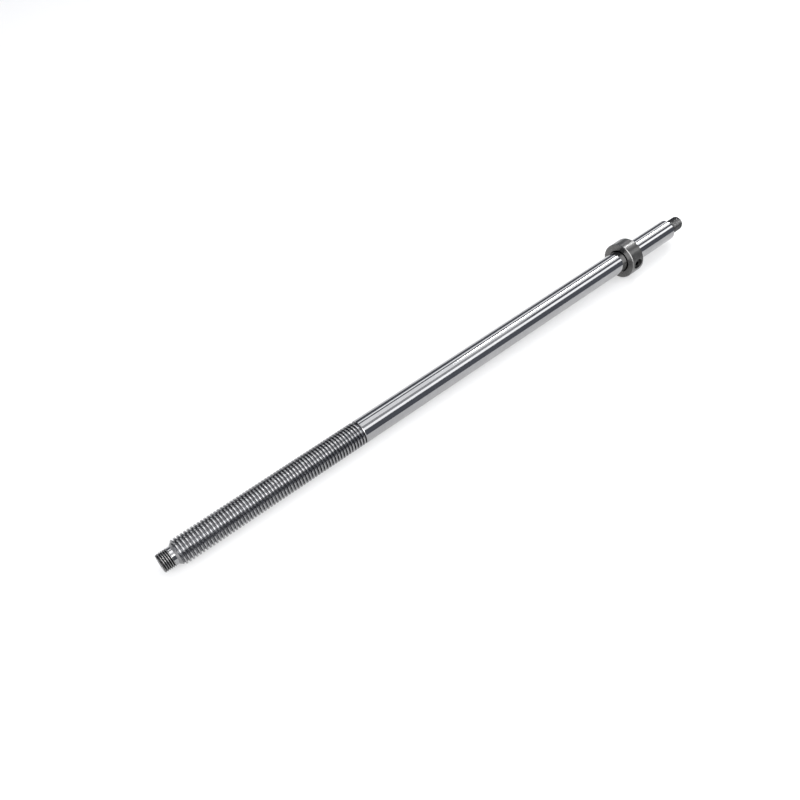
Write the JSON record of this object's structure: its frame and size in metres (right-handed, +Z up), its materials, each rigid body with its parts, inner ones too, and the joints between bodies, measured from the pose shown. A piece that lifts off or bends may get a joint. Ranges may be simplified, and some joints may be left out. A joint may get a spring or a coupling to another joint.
{
  "type": "lead screw assembly",
  "caption": "Straight screw shaft with a long trapezoidal thread, a ground plain shank, threaded stubs at both ends and a sliding stop collar locked by a set screw.",
  "frame": {"origin": "on the shaft axis at the drive-end shoulder, where the plain shank ends", "axes": "+X along the shaft axis towards the drive end, +Z up, -Y the side that the collar's set screw faces"},
  "size_m": [0.5478, 0.0318, 0.0318],
  "materials": {
    "ground_steel": "ground and polished",
    "collar_steel": "turned, dark satin",
    "black_oxide_steel": "black oxide"
  },
  "bodies": {
    "shaft": {"screw_shaft": "ground_steel"},
    "collar": {"stop_collar": "collar_steel"},
    "screw": {"set_screw": "black_oxide_steel"}
  },
  "joints": [
    {"name": "collar_slide", "type": "slide", "parent": "shaft", "child": "collar", "axis": [1, 0, 0], "range_m": [-0.29, 0.05]},
    {"name": "set_screw_travel", "type": "slide", "parent": "collar", "child": "screw", "axis": [0, -0.9848, 0.1736], "range_m": [0, 0.003]}
  ]
}
